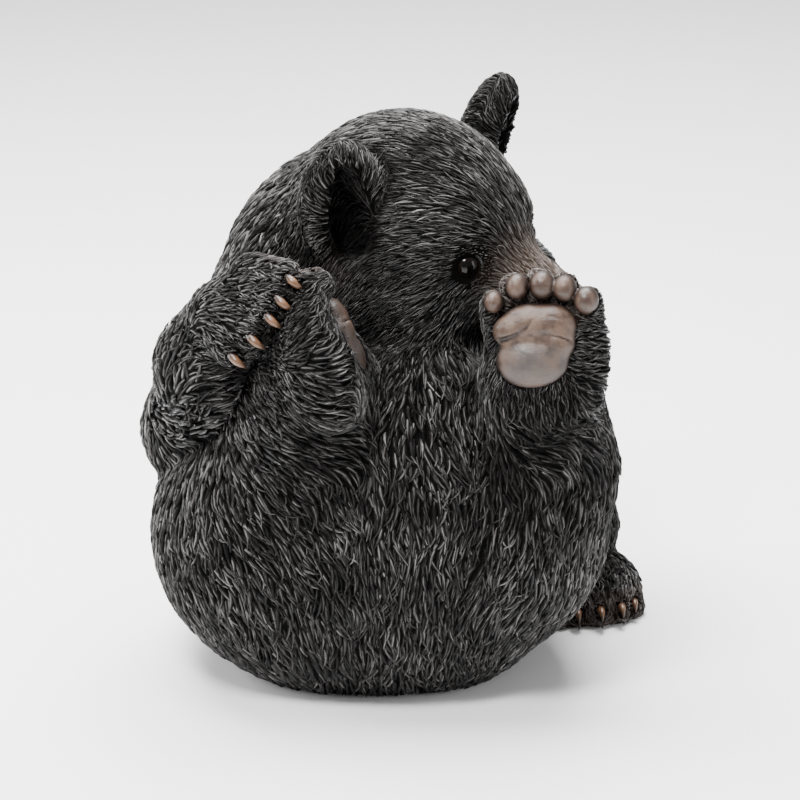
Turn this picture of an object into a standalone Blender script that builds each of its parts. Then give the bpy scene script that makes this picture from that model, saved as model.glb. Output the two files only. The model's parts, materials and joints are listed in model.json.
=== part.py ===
"""Bear cub garden statue: one cast figure, seated and holding its own hind foot, with two inset glass eyes."""

import math

import bmesh
import bpy
import numpy as np

# Driving dimensions, in metres
STATUE_HEIGHT = 0.285  # ground to the tip of the left ear
EYE_DIAMETER = 0.013  # the glass eyes are a stock size
EYE_GAP = 0.0003  # round each glass eye in its socket
LID_THICKNESS = 0.0025  # of the eyelid over the glass
LOCK_DEPTH = 0.0026  # of the grooves carved between the locks of fur

# The figure is modelled in units, of which it is this many tall
UNITS_TALL = 285.0
UNIT = STATUE_HEIGHT / UNITS_TALL
EYE_RADIUS = EYE_DIAMETER / 2 / UNIT
LID_RADIUS = EYE_RADIUS + LID_THICKNESS / UNIT
LID_EDGE = 1.05 * LID_THICKNESS / UNIT  # how far the lids reach in front of the eye's middle

# The grid that the surface is drawn on, in units, and the faces that it is thinned to
GRID_STEP = 2.5
GRID_LOW = (-130.0, -120.0, -8.0)
GRID_HIGH = (140.0, 125.0, 296.0)
FIGURE_TRIANGLES = 8600
FLOOR = -4.0  # the forms run on below the ground, where the figure is cut level

# The grooves between the locks of fur, in units
LOCK_SPACING = 13.5
LOCK_LENGTH = 27.0


def unit_vector(v):
    v = np.array(v, float)
    return v / np.linalg.norm(v)


class Frame:
    """A place with three axes: first, second, and third = first x second."""

    def __init__(self, at, first, near_second):
        self.at = np.array(at, float)
        a = unit_vector(first)
        c = unit_vector(np.cross(a, near_second))
        self.axes = np.array([a, np.cross(c, a), c])

    def point(self, *local):
        return self.at + np.array(local, float) @ self.axes

    def direction(self, *local):
        return np.array(local, float) @ self.axes


WORLD = Frame((0, 0, 0), (1, 0, 0), (0, 1, 0))


# Distances to simple forms, negative inside. Points are rows, in units.


def ball(p, at, radii, frame=WORLD):
    """An ellipsoid at a place in the frame, with a radius along each of the frame's axes."""
    local = ((p - frame.point(*at)) @ frame.axes.T.astype(np.float32)).astype(np.float32)
    r = np.array(radii, np.float32)
    near = np.sqrt(((local / r) ** 2).sum(1))
    slope = np.sqrt(((local / r**2) ** 2).sum(1))
    return near * (near - 1) / np.maximum(slope, 1e-6)


def limb(p, start, end, r_start, r_end, frame=WORLD):
    """A round bar whose radius changes evenly between its two round ends."""
    a, b = frame.point(*start), frame.point(*end)
    along = (b - a).astype(np.float32)
    offset = (p - a).astype(np.float32)
    t = np.clip(offset @ along / (along @ along), 0, 1)
    return np.linalg.norm(offset - t[:, None] * along, axis=1) - (r_start + (r_end - r_start) * t)


def joined(a, b, blend):
    """The union of two forms, with a fillet about as wide as blend."""
    h = np.clip(0.5 + 0.5 * (b - a) / blend, 0, 1)
    return b + (a - b) * h - blend * h * (1 - h)


def carved(a, b, blend):
    """Form a with form b taken out of it, its edge rounded by blend."""
    return -joined(-a, b, blend)


# The head looks to the figure's left. Its frame runs forward, left and up.
HEAD = Frame((10, 12, 215), (0.80, -0.55, -0.23), (0.57, 0.81, 0.06))

# The hind feet's frames run to the toes, out of the sole, and across.
LEFT_FOOT = Frame((70, -93, 192), (0.0, 0.30, 0.95), (-0.12, -0.95, 0.30))
RIGHT_FOOT = Frame((-24, -75, 188), (-0.40, 0.60, 0.69), (0.91, 0.23, 0.33))

# The hands' frames run to the fingers, out of the back of the hand, and across.
RIGHT_HAND = Frame((-69, -68, 197), (0.78, -0.25, -0.57), (-0.25, -0.90, 0.30))
LEFT_HAND = Frame((106, 42, 14), (0.10, -0.98, -0.16), (0.05, -0.18, 0.98))

# Where the toes stand: across from the inner side to the outer, reach, and radius
TOES = ((-22, 20, 6.5), (-12.5, 27, 7.5), (-0.5, 28.5, 8.0), (11.5, 27, 8.0), (22.5, 20.5, 8.0))
# Where the claws of the gripping hand and of the resting hand lie
GRIP = ((-44, -85, 220), (-49, -89, 211), (-54, -91, 203), (-62, -92, 193), (-71, -90, 183))
REST = ((88, 16, 7), (97, 12, 8), (109, 12, 9), (120, 17, 9), (127, 26, 8))

# The eyes' places in the head's frame
EYES = ((49, -25, 12), (49, 25, 12))

# Each ear's place in the head's frame, side and radii, and the place and radii of its hollow
EARS = (
    ((-12, -49, 28), -1, (33, 17, 21), (3, 12, -4), (25, 20, 9.5)),
    ((2, 53, 36), 1, (34, 13.5, 20), (1, 13, 0), (25, 18, 12.5)),
)


def close_to(p, at, radius, form, margin=14):
    """The form where a point comes near its ball of the given radius, and a distance to that ball elsewhere."""
    d = np.linalg.norm(p - np.asarray(at, np.float32), axis=1) - radius
    close = d < margin
    if close.any():
        d[close] = form(p[close])
    return d


def claw(p, frame, base, bend, tip, radius):
    """A claw that tapers from base to tip through a bend."""
    d = limb(p, base, bend, radius, radius * 0.8, frame)
    return joined(d, limb(p, bend, tip, radius * 0.8, radius * 0.25, frame), 1)


def muzzle(p):
    """The snout with its nose, nostrils, lips and chin."""
    d = limb(p, (40, 0, -2), (88, 0, -6), 27, 17, HEAD)
    d = joined(d, ball(p, (96, 0, -7), (13, 16, 13), HEAD), 8)
    jaw = limb(p, (36, 0, -28), (82, 0, -24), 22, 9, HEAD)
    d = joined(d, jaw, 2.5)
    nose = ball(p, (104, 0, -1), (8, 11, 8.5), HEAD)
    nose = joined(nose, ball(p, (106, 0, -7), (5, 5, 6), HEAD), 3)
    d = joined(d, nose, 1)
    for side in (-1, 1):
        d = carved(d, ball(p, (111, side * 5.5, -2.5), (4, 2.4, 3), HEAD), 1)
    d = carved(d, limb(p, (111, 0, -9), (104, 0, -19), 0.9, 0.9, HEAD), 1)
    return d


def head(p):
    d = ball(p, (-2, 0, 0), (60, 59, 59), HEAD)
    d = joined(d, ball(p, (24, 0, 18), (30, 32, 26), HEAD), 12)
    for side in (-1, 1):
        d = joined(d, ball(p, (34, side * 20, 20), (16, 15, 13), HEAD), 10)
        d = joined(d, ball(p, (16, side * 32, -22), (38, 26, 32), HEAD), 18)
    return joined(d, muzzle(p), 14)


def with_ears(p, d):
    """The head with its two cupped ears."""
    for place, side, radii, hollow, hollow_radii in EARS:
        up, ahead = HEAD.direction(0, side * 0.2, 0.98), HEAD.direction(0.94, side * 0.3, 0.0)
        ear = Frame(HEAD.point(*place), up, ahead)
        d = joined(d, ball(p, (0, 0, 0), radii, ear), 5)
        d = carved(d, ball(p, hollow, hollow_radii, ear), 4)
    return d


def eyelids(p, d):
    """The head with lids that swell round each glass eye and leave it a round opening."""
    for side, eye in zip((-1, 1), EYES):
        look = Frame(HEAD.point(*eye), HEAD.direction(0.72, side * 0.66, 0.16), HEAD.direction(0, 0, 1))
        out = (p - look.at) @ look.axes[0]
        opening = limb(p, (LID_EDGE + 6, 0, 0), (LID_EDGE + 16, 0, 0), EYE_RADIUS, EYE_RADIUS + 6, look)
        d = carved(d, opening, 2)
        lid = np.maximum(ball(p, (0, 0, 0), (LID_RADIUS,) * 3, look), out - LID_EDGE)
        d = joined(d, lid.astype(np.float32), 1)
    return d


def trunk(p):
    d = ball(p, (-7, 2, 70), (102, 103, 93))
    d = joined(d, ball(p, (5, -22, 110), (72, 74, 64)), 20)
    d = joined(d, ball(p, (-10, 38, 167), (77, 66, 86)), 30)
    d = joined(d, ball(p, (12, -52, 152), (40, 24, 26)), 8)
    for x in (-42, 30):
        d = joined(d, ball(p, (x, -30, 43), (46, 56, 43)), 14)
    return joined(d, ball(p, (-4, 100, 36), (12, 12, 17)), 10)


def hind_foot(p, frame, inner):
    """A foot with its toes, pads and claws. inner is -1 or 1, the side of the frame where the first toe lies."""
    d = ball(p, (-1, -13, 3 * -inner), (33, 16, 28), frame)
    d = joined(d, ball(p, (-16, -16, 2 * -inner), (24, 17, 25), frame), 8)
    pads = None
    for across, reach, radius in TOES:
        across *= -inner
        toe = limb(p, (reach - 14, -9, across * 0.9), (reach, -5, across), radius, radius, frame)
        d = joined(d, toe, 2.5)
        d = joined(d, claw(p, frame, (reach, -12, across), (reach + 5, -13, across * 1.02),
                           (reach + 7, -11, across * 1.04), 2.6), 0.8)
        pad = ball(p, (reach, 1.5, across), (radius * 0.85, 5.5, radius * 0.76), frame)
        pads = pad if pads is None else np.minimum(pads, pad)
    sole = ball(p, (9.5, 1, -inner * 6), (9.5, 7, 11), frame)
    sole = joined(sole, ball(p, (10, 1, inner * 5), (9, 7, 11), frame), 4)
    sole = joined(sole, ball(p, (6.5, 1, inner * 14.5), (6.5, 6.5, 6.5), frame), 4)
    sole = joined(sole, ball(p, (-7.5, 1, inner * 3), (12.5, 7.3, 16.5), frame), 1)
    sole = joined(sole, ball(p, (1, 1, -inner * 9), (8, 6.5, 7), frame), 3)
    return joined(d, joined(pads, sole, 1), 1)


def left_leg(p):
    d = limb(p, (71, -72, 165), (74, -56, 118), 27, 36)
    d = joined(d, ball(p, (57, -26, 82), (51, 72, 64)), 18)
    foot = close_to(p, LEFT_FOOT.at, 50, lambda q: hind_foot(q, LEFT_FOOT, -1))
    return joined(d, foot, 12)


def right_leg(p):
    d = limb(p, (-37, -69, 166), (-46, -54, 110), 29, 43)
    d = joined(d, ball(p, (-60, -24, 73), (57, 72, 66)), 18)
    foot = close_to(p, RIGHT_FOOT.at, 50, lambda q: hind_foot(q, RIGHT_FOOT, 1))
    return joined(d, foot, 9)


def hand(p, frame, claws, palm):
    """A paw whose fingers reach to the given places, each with its claw along the frame's first axis."""
    d = ball(p, (0, 0, 0), palm, frame)
    for place in claws:
        reach, height, across = (np.array(place) - frame.at) @ frame.axes.T
        finger = limb(p, (reach - 20, -4, across * 0.6), (reach - 6, height - 5, across), 9, 5.5, frame)
        d = joined(d, finger, 8)
        d = joined(d, claw(p, frame, (reach - 4, height - 2, across), (reach + 2, height, across),
                           (reach + 5, height - 4, across), 2.8), 0.8)
    return d


def right_arm(p):
    d = limb(p, (-56, 30, 166), (-90, -8, 122), 37, 27)
    d = joined(d, limb(p, (-91, -14, 120), (-85, -46, 166), 29, 25), 14)
    grip = close_to(p, RIGHT_HAND.at, 48, lambda q: hand(q, RIGHT_HAND, GRIP, (18, 14, 17)))
    return joined(d, joined(limb(p, (-85, -46, 166), (-76, -58, 192), 25, 20), grip, 8), 10)


def left_arm(p):
    d = limb(p, (50, 36, 172), (80, 58, 98), 38, 26)
    d = joined(d, limb(p, (80, 58, 98), (100, 60, 38), 26, 19), 10)
    palm = close_to(p, LEFT_HAND.at, 48, lambda q: hand(q, LEFT_HAND, REST, (25, 14, 24)))
    return joined(d, palm, 8)


def figure(p):
    """The whole cast figure, without its fur."""
    d = joined(trunk(p), eyelids(p, with_ears(p, head(p))), 10)
    for form, blend in ((left_leg, 10), (right_leg, 10), (right_arm, 4), (left_arm, 8)):
        d = joined(d, form(p), blend)
    return np.maximum(d, -p[:, 2] + FLOOR)


# The fur lies along these strokes: a place, and the way the hair grows there.
STROKES = (
    ((53, -18, 245), (-1, 0.2, 0.5)), ((24, -16, 265), (-1, 0.1, 0.2)), ((-5, 0, 271), (-1, 0.1, 0)),
    ((19, -45, 228), (-1, 0, 0)), ((10, -50, 205), (-0.9, -0.2, -0.4)),
    ((29, -45, 183), (-0.6, -0.2, -0.7)), ((-5, -47, 184), (-0.8, -0.2, -0.6)),
    ((77, -32, 210), (-0.9, 0.3, 0.6)), ((90, -20, 195), (-0.8, 0.6, 0.2)),
    ((60, 30, 225), (-0.5, 0.9, 0.1)), ((50, 40, 195), (-0.3, 0.9, -0.4)),
    ((20, 60, 235), (-0.8, 0.5, -0.3)), ((-34, -20, 225), (-0.5, 0.1, -0.9)),
    ((-40, 30, 250), (-0.8, 0.4, -0.5)), ((-64, 15, 226), (-0.4, 0.1, -1)),
    ((-74, 9, 200), (-0.3, -0.1, -1)), ((-20, 100, 200), (0, 0.3, -1)), ((-10, 102, 120), (0, 0, -1)),
    ((0, 105, 40), (0, 0, -1)), ((60, 90, 110), (0, 0, -1)), ((-75, 80, 110), (0, 0, -1)),
    ((-90, -50, 190), (0.8, 0.1, 0.4)), ((-70, -82, 200), (0.8, -0.2, -0.2)),
    ((-104, -50, 165), (0.2, -0.3, 0.9)), ((-113, -20, 128), (-0.2, -0.4, -0.9)),
    ((-85, 30, 150), (-0.4, -0.3, -0.9)), ((-27, -100, 202), (-0.9, 0, 0.4)),
    ((-32, -105, 180), (0.9, -0.1, -0.2)), ((-56, -92, 149), (0.8, -0.2, -0.4)),
    ((-23, -91, 144), (0.9, -0.1, -0.3)), ((-96, -75, 107), (0.2, -0.3, -0.9)),
    ((-62, -94, 105), (0.6, -0.3, -0.8)), ((-28, -96, 100), (0.6, -0.3, -0.8)),
    ((-43, -93, 52), (0.3, 0, -1)), ((3, -60, 165), (-0.3, -0.5, -0.8)),
    ((24, -59, 163), (0.4, -0.5, -0.8)), ((5, -83, 146), (-0.3, -0.3, -0.9)),
    ((24, -86, 137), (0.5, -0.3, -0.8)), ((-8, -98, 111), (-0.1, -0.3, -1)),
    ((19, -97, 111), (0.1, -0.3, -1)), ((7, -101, 82), (0, 0, -1)), ((5, -93, 37), (0, 0, -1)),
    ((45, -84, 136), (-0.1, -0.3, -0.9)), ((38, -95, 94), (-0.3, -0.3, -0.9)),
    ((71, -98, 142), (1, -0.1, -0.2)), ((95, -87, 143), (0.8, 0.2, -0.5)),
    ((81, -91, 114), (-0.1, -0.3, -1)), ((101, -76, 108), (0.1, -0.2, -1)),
    ((63, -93, 63), (-0.4, 0, -0.9)), ((43, -84, 171), (-0.7, -0.2, -0.6)),
    ((98, -92, 189), (0.7, 0.7, -0.1)), ((70, -106, 165), (0, -0.3, -1)), ((70, -60, 195), (0, 0.3, 1)),
    ((108, 15, 24), (0.1, -0.9, -0.3)), ((104, 45, 50), (0.2, -0.3, -0.9)), ((85, 50, 110), (0.2, 0, -1)),
    ((0, 0, 0), (0, 0, -1)),
)


def slope(p, form=None, step=0.7):
    """The outward direction of the surface nearest to each point."""
    form = form or figure
    p = p.astype(np.float32)
    offsets = np.eye(3, dtype=np.float32) * step
    g = np.stack([form(p + o) - form(p - o) for o in offsets], 1)
    return g / np.maximum(np.linalg.norm(g, axis=1, keepdims=True), 1e-6)


def hair_direction(p, normal):
    """The way the hair grows at each point, along the surface."""
    total = np.zeros_like(p)
    for place, direction in STROKES:
        near = ((p - np.array(place)) ** 2).sum(1) + 90
        total += unit_vector(direction) / (near**2)[:, None]
    total -= normal * (total * normal).sum(1, keepdims=True)
    return total / np.maximum(np.linalg.norm(total, axis=1, keepdims=True), 1e-12)


def bare(p):
    """How far a point is from the pads, the claws, the nose and the eyes, which carry no fur."""
    d = np.linalg.norm(p - HEAD.point(104, 0, -3), axis=1) - 14
    for eye in EYES:
        d = np.minimum(d, np.linalg.norm(p - HEAD.point(*eye), axis=1) - LID_RADIUS - 1)
    for frame in (LEFT_FOOT, RIGHT_FOOT):
        local = (p - frame.at) @ frame.axes.T
        sole = np.maximum(np.abs(local[:, 0] - 7) - 30, np.abs(local[:, 2]) - 29)
        d = np.minimum(d, np.maximum(sole, -5 - local[:, 1]))
        d = np.minimum(d, np.maximum(18 - local[:, 0], np.maximum(np.abs(local[:, 2]) - 32, local[:, 0] - 45)))
    for frame, claws in ((RIGHT_HAND, GRIP), (LEFT_HAND, REST)):
        for place in claws:
            d = np.minimum(d, np.linalg.norm(p - np.array(place), axis=1) - 6)
    return d


def fineness(p):
    """Small where the face, the ears, the feet and the hands keep more of their faces, and one elsewhere."""
    d = np.linalg.norm(p - HEAD.point(72, 0, 0), axis=1) - 40
    for place, *_ in EARS:
        d = np.minimum(d, np.linalg.norm(p - HEAD.point(*place), axis=1) - 30)
    for frame in (LEFT_FOOT, RIGHT_FOOT):
        d = np.minimum(d, np.linalg.norm(p - frame.point(16, -4, 0), axis=1) - 32)
    for claws in (GRIP, REST):
        for place in claws:
            d = np.minimum(d, np.linalg.norm(p - np.array(place), axis=1) - 10)
    return np.clip(0.35 + d / 12, 0.35, 1.0)


def spread(p, spacing):
    """Picks points that stand about the spacing apart."""
    cells = np.floor(p / spacing).astype(int)
    _, first = np.unique(cells, axis=0, return_index=True)
    chosen = []
    for i in np.sort(first):
        if not chosen or np.min(np.linalg.norm(p[chosen] - p[i], axis=1)) > spacing * 0.62:
            chosen.append(i)
    return np.array(chosen)


def furrows(points):
    """The grooves between the locks: rows of four points that run along the fur, and their widths."""
    starts = points[spread(points, LOCK_SPACING)]
    starts = starts[(bare(starts) > 3) & (starts[:, 2] > 5) & (fineness(starts) > 0.9)]
    path = [starts]
    for _ in range(3):
        here = path[-1]
        normal = slope(here)
        ahead = here + hair_direction(here, normal) * LOCK_LENGTH / 3
        path.append(ahead - slope(ahead) * figure(ahead.astype(np.float32))[:, None])
    return np.stack(path, 1)


def carve_furrows(value, axes, paths):
    """Cuts each groove into the field, deepest in its middle and shallow at both ends."""
    depth = LOCK_DEPTH / UNIT
    radii = (0.6 * depth, 1.25 * depth, 1.1 * depth, 0.4 * depth)
    for path in paths:
        low, high = path.min(0) - 6, path.max(0) + 6
        block = []
        for axis in range(3):
            first = np.searchsorted(axes[axis], low[axis])
            last = np.searchsorted(axes[axis], high[axis])
            block.append(slice(first, last))
        parts = np.meshgrid(*[axes[i][block[i]] for i in range(3)], indexing="ij")
        p = np.stack([part.ravel() for part in parts], 1).astype(np.float32)
        if len(p) == 0:
            continue
        cut = None
        for i in range(3):
            d = limb(p, path[i], path[i + 1], radii[i], radii[i + 1])
            cut = d if cut is None else np.minimum(cut, d)
        cut = cut.reshape(parts[0].shape)
        value[tuple(block)] = carved(value[tuple(block)], cut, 0.8)


# The six tetrahedra that a grid cell splits into, by the numbers of its corners
CELL_CORNERS = np.array([(i, j, k) for i in (0, 1) for j in (0, 1) for k in (0, 1)])
CELL_TETRAHEDRA = np.array([(0, 1, 3, 7), (0, 3, 2, 7), (0, 2, 6, 7), (0, 6, 4, 7), (0, 4, 5, 7), (0, 5, 1, 7)])


def field(distance, step):
    """The grid's three rows of ticks and the distance at each of its nodes."""
    ticks = [np.arange(low, high + step, step, dtype=np.float32) for low, high in zip(GRID_LOW, GRID_HIGH)]
    grid = np.stack(np.meshgrid(*ticks, indexing="ij"), -1).reshape(-1, 3)
    value = np.concatenate([distance(part) for part in np.array_split(grid, 24)])
    return ticks, value.reshape([len(t) for t in ticks])


def surface(ticks, value):
    """Points and triangles of the closed surface where the field is zero, by marching tetrahedra."""
    shape = value.shape
    grid = np.stack(np.meshgrid(*ticks, indexing="ij"), -1).reshape(-1, 3)
    value = np.where(value == 0, 1e-6, value).ravel()
    inside = (value < 0).reshape(shape)
    cells = np.zeros(tuple(n - 1 for n in shape), np.int8)
    for i, j, k in CELL_CORNERS:
        cells += inside[i:shape[0] - 1 + i, j:shape[1] - 1 + j, k:shape[2] - 1 + k]
    low = np.argwhere((cells > 0) & (cells < 8))
    corners = low[:, None, :] + CELL_CORNERS[None]
    flat = np.ravel_multi_index(np.moveaxis(corners, -1, 0), shape)
    tets = flat[:, CELL_TETRAHEDRA].reshape(-1, 4)
    count = (value[tets] < 0).sum(1)
    tets = tets[(count > 0) & (count < 4)]
    order = np.argsort(value[tets] >= 0, axis=1, kind="stable")
    tets = np.take_along_axis(tets, order, 1)
    count = (value[tets] < 0).sum(1)
    edges_of = {1: ((0, 1), (0, 2), (0, 3)), 3: ((0, 3), (1, 3), (2, 3)), 2: ((0, 2), (0, 3), (1, 3), (1, 2))}
    ends, sides = [], []
    for inner, pairs in edges_of.items():
        some = tets[count == inner]
        edge = np.stack([some[:, list(pair)] for pair in pairs], 1)
        triangles = [edge[:, :3]] if len(pairs) == 3 else [edge[:, :3], edge[:, [0, 2, 3]]]
        for triangle in triangles:
            ends.append(triangle)
            sides.append(some[:, [0, 3]])
    ends = np.concatenate(ends)
    sides = np.concatenate(sides)
    keys = np.sort(ends, axis=2)
    keys = keys[..., 0].astype(np.int64) * len(grid) + keys[..., 1]
    unique, faces = np.unique(keys, return_inverse=True)
    faces = faces.reshape(-1, 3)
    a, b = unique // len(grid), unique % len(grid)
    share = np.clip(value[a] / (value[a] - value[b]), 0.04, 0.96)[:, None]
    points = grid[a] + (grid[b] - grid[a]) * share
    normal = np.cross(points[faces[:, 1]] - points[faces[:, 0]], points[faces[:, 2]] - points[faces[:, 0]])
    outward = grid[sides[:, 1]] - grid[sides[:, 0]]
    flip = (normal * outward).sum(1) < 0
    faces[flip] = faces[flip][:, ::-1]
    return points, faces


def material(name, colour, roughness):
    made = bpy.data.materials.new(name)
    made.use_nodes = True
    shader = made.node_tree.nodes["Principled BSDF"]
    shader.inputs["Base Color"].default_value = (*colour, 1)
    shader.inputs["Roughness"].default_value = roughness
    return made


def solid(name, points, faces, look=None):
    """A named object from points in metres and their faces."""
    mesh = bpy.data.meshes.new(name)
    mesh.from_pydata([tuple(float(c) for c in point) for point in points], [], [tuple(f) for f in faces])
    made = bpy.data.objects.new(name, mesh)
    bpy.context.collection.objects.link(made)
    if look:
        mesh.materials.append(look)
    return made


def round_ball(name, at, radius, look, rows=10, columns=16):
    """A ball from rows of flat faces, its poles at the top and bottom."""
    points = [(0, 0, radius)]
    for row in range(1, rows):
        angle = math.pi * row / rows
        for column in range(columns):
            turn = 2 * math.pi * column / columns
            points.append((radius * math.sin(angle) * math.cos(turn), radius * math.sin(angle) * math.sin(turn),
                           radius * math.cos(angle)))
    points.append((0, 0, -radius))
    faces = []
    for column in range(columns):
        beside = (column + 1) % columns
        faces.append((0, 1 + column, 1 + beside))
        last = 1 + (rows - 2) * columns
        faces.append((len(points) - 1, last + beside, last + column))
        for row in range(rows - 2):
            start = 1 + row * columns
            faces.append((start + column, start + columns + column, start + columns + beside, start + beside))
    return solid(name, np.array(points) + at, faces, look)


def applied(made, modifier):
    """Replaces the object's mesh by the result of its modifier."""
    graph = bpy.context.evaluated_depsgraph_get()
    mesh = bpy.data.meshes.new_from_object(made.evaluated_get(graph))
    made.modifiers.remove(modifier)
    old = made.data
    made.data = mesh
    bpy.data.meshes.remove(old)


def thinned(made, triangles):
    """Joins the faces of the fine surface until about so many triangles are left."""
    kept = made.vertex_groups.new(name="thinned")
    places = np.array([vertex.co for vertex in made.data.vertices]) / UNIT
    shares = np.round(fineness(places) * 20) / 20
    for share in np.unique(shares):
        kept.add(np.nonzero(shares == share)[0].tolist(), float(share), "REPLACE")
    modifier = made.modifiers.new("thinned", "DECIMATE")
    modifier.vertex_group = kept.name
    modifier.vertex_group_factor = 0.8
    modifier.ratio = triangles / len(made.data.polygons)
    modifier.use_collapse_triangulate = True
    applied(made, modifier)


def flat_base(made):
    """Cuts the figure level at the ground and closes the cut."""
    edit = bmesh.new()
    edit.from_mesh(made.data)
    everything = edit.verts[:] + edit.edges[:] + edit.faces[:]
    bmesh.ops.bisect_plane(edit, geom=everything, dist=1e-6, plane_co=(0, 0, 0), plane_no=(0, 0, 1),
                           clear_inner=True)
    rim = [edge for edge in edit.edges if edge.is_boundary]
    bmesh.ops.holes_fill(edit, edges=rim, sides=0)
    for vertex in edit.verts:
        if abs(vertex.co.z) < 2e-6:
            vertex.co.z = 0.0
    bmesh.ops.triangulate(edit, faces=[face for face in edit.faces if len(face.verts) > 3])
    bmesh.ops.recalc_face_normals(edit, faces=edit.faces[:])
    edit.to_mesh(made.data)
    edit.free()


def cut_out(made, cutter):
    modifier = made.modifiers.new("socket", "BOOLEAN")
    modifier.operation = "DIFFERENCE"
    modifier.solver = "EXACT"
    modifier.object = cutter
    applied(made, modifier)


def build():
    for old in list(bpy.data.objects):
        bpy.data.objects.remove(old)
    coat = material("painted_resin_black", (0.018, 0.017, 0.017), 0.42)
    glass = material("glass_brown", (0.05, 0.022, 0.010), 0.05)

    ticks, value = field(figure, GRID_STEP)
    points, _ = surface(ticks, value)
    carve_furrows(value, ticks, furrows(points))
    points, faces = surface(ticks, value)
    cub = solid("bear_cub", points * UNIT, faces, coat)
    thinned(cub, FIGURE_TRIANGLES)
    flat_base(cub)

    for name, place in zip(("right_eye", "left_eye"), EYES):
        at = HEAD.point(*place) * UNIT
        cutter = round_ball(name + "_socket", at, EYE_DIAMETER / 2 + EYE_GAP * 1.05, None)
        cutter.display_type = "WIRE"
        cutter.hide_render = True
        cut_out(cub, cutter)
        bpy.data.objects.remove(cutter)
        round_ball(name, at, EYE_DIAMETER / 2, glass)


build()
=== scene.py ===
"""Looks of the bear cub garden statue: carved and painted fur, pads, claws, nose and glass eyes."""

import json
import math

import bpy
import numpy as np
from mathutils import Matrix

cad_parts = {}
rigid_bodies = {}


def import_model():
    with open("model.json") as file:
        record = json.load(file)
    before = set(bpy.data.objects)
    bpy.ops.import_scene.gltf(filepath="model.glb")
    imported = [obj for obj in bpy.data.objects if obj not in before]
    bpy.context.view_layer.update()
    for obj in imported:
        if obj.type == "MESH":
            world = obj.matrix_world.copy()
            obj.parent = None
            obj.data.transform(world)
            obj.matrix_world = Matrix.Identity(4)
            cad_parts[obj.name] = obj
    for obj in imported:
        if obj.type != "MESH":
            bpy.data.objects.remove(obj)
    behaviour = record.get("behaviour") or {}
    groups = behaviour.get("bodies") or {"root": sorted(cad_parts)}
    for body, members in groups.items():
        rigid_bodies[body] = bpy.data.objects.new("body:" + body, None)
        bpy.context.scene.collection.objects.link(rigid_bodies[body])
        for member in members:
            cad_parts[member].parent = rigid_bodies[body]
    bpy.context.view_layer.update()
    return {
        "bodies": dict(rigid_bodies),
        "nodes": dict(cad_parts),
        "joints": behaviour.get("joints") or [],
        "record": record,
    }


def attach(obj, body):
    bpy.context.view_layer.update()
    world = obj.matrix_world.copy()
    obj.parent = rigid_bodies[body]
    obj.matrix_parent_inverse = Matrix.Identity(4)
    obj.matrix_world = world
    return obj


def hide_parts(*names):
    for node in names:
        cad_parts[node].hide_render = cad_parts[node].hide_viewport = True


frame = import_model()

# The same named values as the solids were made from, in metres and in units
STATUE_HEIGHT = 0.285
EYE_DIAMETER = 0.013
LID_THICKNESS = 0.0025
UNITS_TALL = 285.0
UNIT = STATUE_HEIGHT / UNITS_TALL
EYE_RADIUS = EYE_DIAMETER / 2 / UNIT
LID_RADIUS = EYE_RADIUS + LID_THICKNESS / UNIT
LID_EDGE = 1.05 * LID_THICKNESS / UNIT
FLOOR = 0.0

# The grid that the surface is drawn on, in units
GRID_LOW = (-130.0, -120.0, -8.0)
GRID_HIGH = (140.0, 125.0, 296.0)
SKIN_STEP = 2.2

chance = np.random.default_rng(20)


def unit_vector(v):
    v = np.array(v, float)
    return v / np.linalg.norm(v)


class Frame:
    """A place with three axes: first, second, and third = first x second."""

    def __init__(self, at, first, near_second):
        self.at = np.array(at, float)
        a = unit_vector(first)
        c = unit_vector(np.cross(a, near_second))
        self.axes = np.array([a, np.cross(c, a), c])

    def point(self, *local):
        return self.at + np.array(local, float) @ self.axes

    def direction(self, *local):
        return np.array(local, float) @ self.axes


WORLD = Frame((0, 0, 0), (1, 0, 0), (0, 1, 0))


# Distances to simple forms, negative inside. Points are rows, in units.


def ball(p, at, radii, frame=WORLD):
    """An ellipsoid at a place in the frame, with a radius along each of the frame's axes."""
    local = ((p - frame.point(*at)) @ frame.axes.T.astype(np.float32)).astype(np.float32)
    r = np.array(radii, np.float32)
    near = np.sqrt(((local / r) ** 2).sum(1))
    slope = np.sqrt(((local / r**2) ** 2).sum(1))
    return near * (near - 1) / np.maximum(slope, 1e-6)


def limb(p, start, end, r_start, r_end, frame=WORLD):
    """A round bar whose radius changes evenly between its two round ends."""
    a, b = frame.point(*start), frame.point(*end)
    along = (b - a).astype(np.float32)
    offset = (p - a).astype(np.float32)
    t = np.clip(offset @ along / (along @ along), 0, 1)
    return np.linalg.norm(offset - t[:, None] * along, axis=1) - (r_start + (r_end - r_start) * t)


def joined(a, b, blend):
    """The union of two forms, with a fillet about as wide as blend."""
    h = np.clip(0.5 + 0.5 * (b - a) / blend, 0, 1)
    return b + (a - b) * h - blend * h * (1 - h)


def carved(a, b, blend):
    """Form a with form b taken out of it, its edge rounded by blend."""
    return -joined(-a, b, blend)


# The head looks to the figure's left. Its frame runs forward, left and up.
HEAD = Frame((10, 12, 215), (0.80, -0.55, -0.23), (0.57, 0.81, 0.06))

# The hind feet's frames run to the toes, out of the sole, and across.
LEFT_FOOT = Frame((70, -93, 192), (0.0, 0.30, 0.95), (-0.12, -0.95, 0.30))
RIGHT_FOOT = Frame((-24, -75, 188), (-0.40, 0.60, 0.69), (0.91, 0.23, 0.33))

# The hands' frames run to the fingers, out of the back of the hand, and across.
RIGHT_HAND = Frame((-69, -68, 197), (0.78, -0.25, -0.57), (-0.25, -0.90, 0.30))
LEFT_HAND = Frame((106, 42, 14), (0.10, -0.98, -0.16), (0.05, -0.18, 0.98))

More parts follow.
